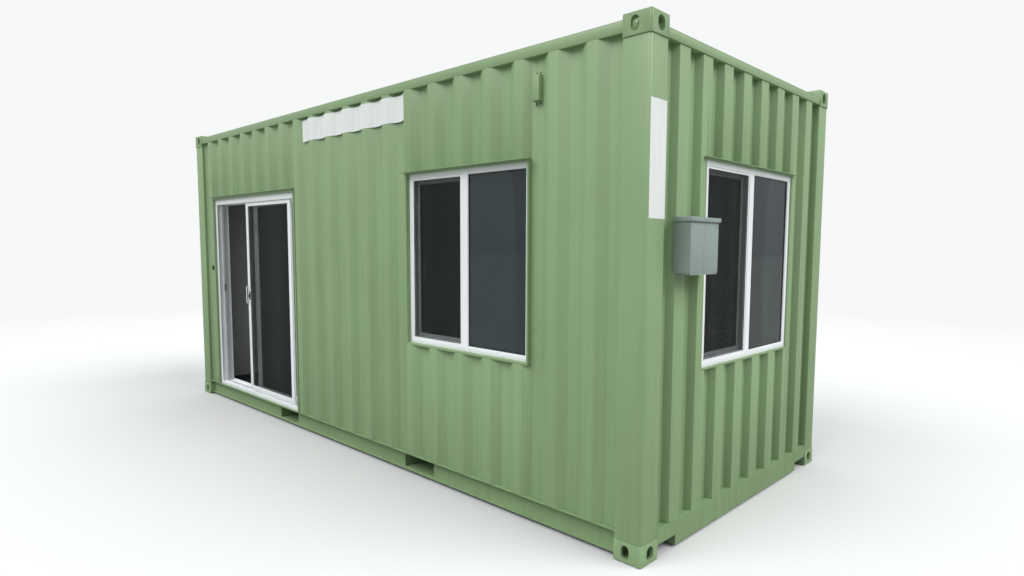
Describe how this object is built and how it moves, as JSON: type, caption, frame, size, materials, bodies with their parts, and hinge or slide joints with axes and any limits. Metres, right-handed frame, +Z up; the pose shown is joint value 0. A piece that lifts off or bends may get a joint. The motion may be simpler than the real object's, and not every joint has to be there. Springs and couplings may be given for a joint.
{
  "type": "shipping container office",
  "caption": "Twenty-foot high shipping container made into a site office, with corrugated steel walls, a sliding glass door with a screen, sliding windows, fork pockets and corner castings.",
  "frame": {"origin": "on the ground in the middle of the rectangle of the bottom corner castings' slots", "axes": "+X along the length towards the end with a window, +Y across to the plain long side, +Z up; the door faces -Y"},
  "size_m": [6.161, 2.459, 2.896],
  "materials": {
    "painted_steel": "satin green alkyd paint over pressed steel",
    "underframe_steel": "satin green paint, dusty",
    "white_vinyl": "extruded white vinyl, satin",
    "lining_board": "light grey faced insulated panel",
    "window_glass": "clear double glazing",
    "insect_mesh": "dark woven fibreglass mesh",
    "grey_steel": "grey powder coat",
    "black_plastic": "moulded black plastic",
    "floor_board": "plywood with a dark vinyl covering"
  },
  "bodies": {
    "container": {"bottom_corner_castings": "painted_steel", "top_near_corner_castings": "painted_steel", "top_far_corner_castings": "painted_steel", "corner_posts": "painted_steel", "bottom_side_rails": "underframe_steel", "top_side_rails": "painted_steel", "bottom_end_rails": "underframe_steel", "top_end_rails": "painted_steel", "cross_members": "underframe_steel", "fork_pockets": "underframe_steel", "plywood_floor": "floor_board", "roof_panel": "painted_steel", "roof_end_plates": "painted_steel", "front_wall": "painted_steel", "front_wall_over_door": "painted_steel", "front_wall_at_window": "painted_steel", "back_wall": "painted_steel", "near_end_wall": "painted_steel", "near_end_wall_at_window": "painted_steel", "far_end_wall": "painted_steel", "front_lining": "lining_board", "front_lining_at_openings": "lining_board", "back_lining": "lining_board", "near_end_lining": "lining_board", "near_end_lining_at_window": "lining_board", "far_end_lining": "lining_board", "ceiling_lining": "lining_board", "ceiling_lining_ends": "lining_board", "door_surround": "painted_steel", "front_window_surround": "painted_steel", "end_window_surround": "painted_steel", "door_frame": "white_vinyl", "fixed_door_panel": "white_vinyl", "fixed_door_glass": "window_glass", "front_window_frame": "white_vinyl", "front_window_sash": "white_vinyl", "front_window_glass": "window_glass", "front_window_screen": "insect_mesh", "end_window_frame": "white_vinyl", "end_window_sash": "white_vinyl", "end_window_glass": "window_glass", "end_window_screen": "insect_mesh", "electrical_box": "grey_steel", "electrical_box_cover": "grey_steel", "ventilator": "painted_steel", "cable_gland": "black_plastic"},
    "sliding_panel": {"sliding_door_panel": "white_vinyl", "sliding_door_glass": "window_glass"},
    "screen_door": {"screen_door_frame": "white_vinyl", "screen_door_mesh": "insect_mesh", "screen_door_handle": "white_vinyl"}
  },
  "joints": [
    {"name": "sliding_panel_slide", "type": "slide", "parent": "container", "child": "sliding_panel", "axis": [1, 0, 0], "range_m": [-0.73, 0]},
    {"name": "screen_door_slide", "type": "slide", "parent": "container", "child": "screen_door", "axis": [1, 0, 0], "range_m": [-0.701, 0.075]}
  ]
}
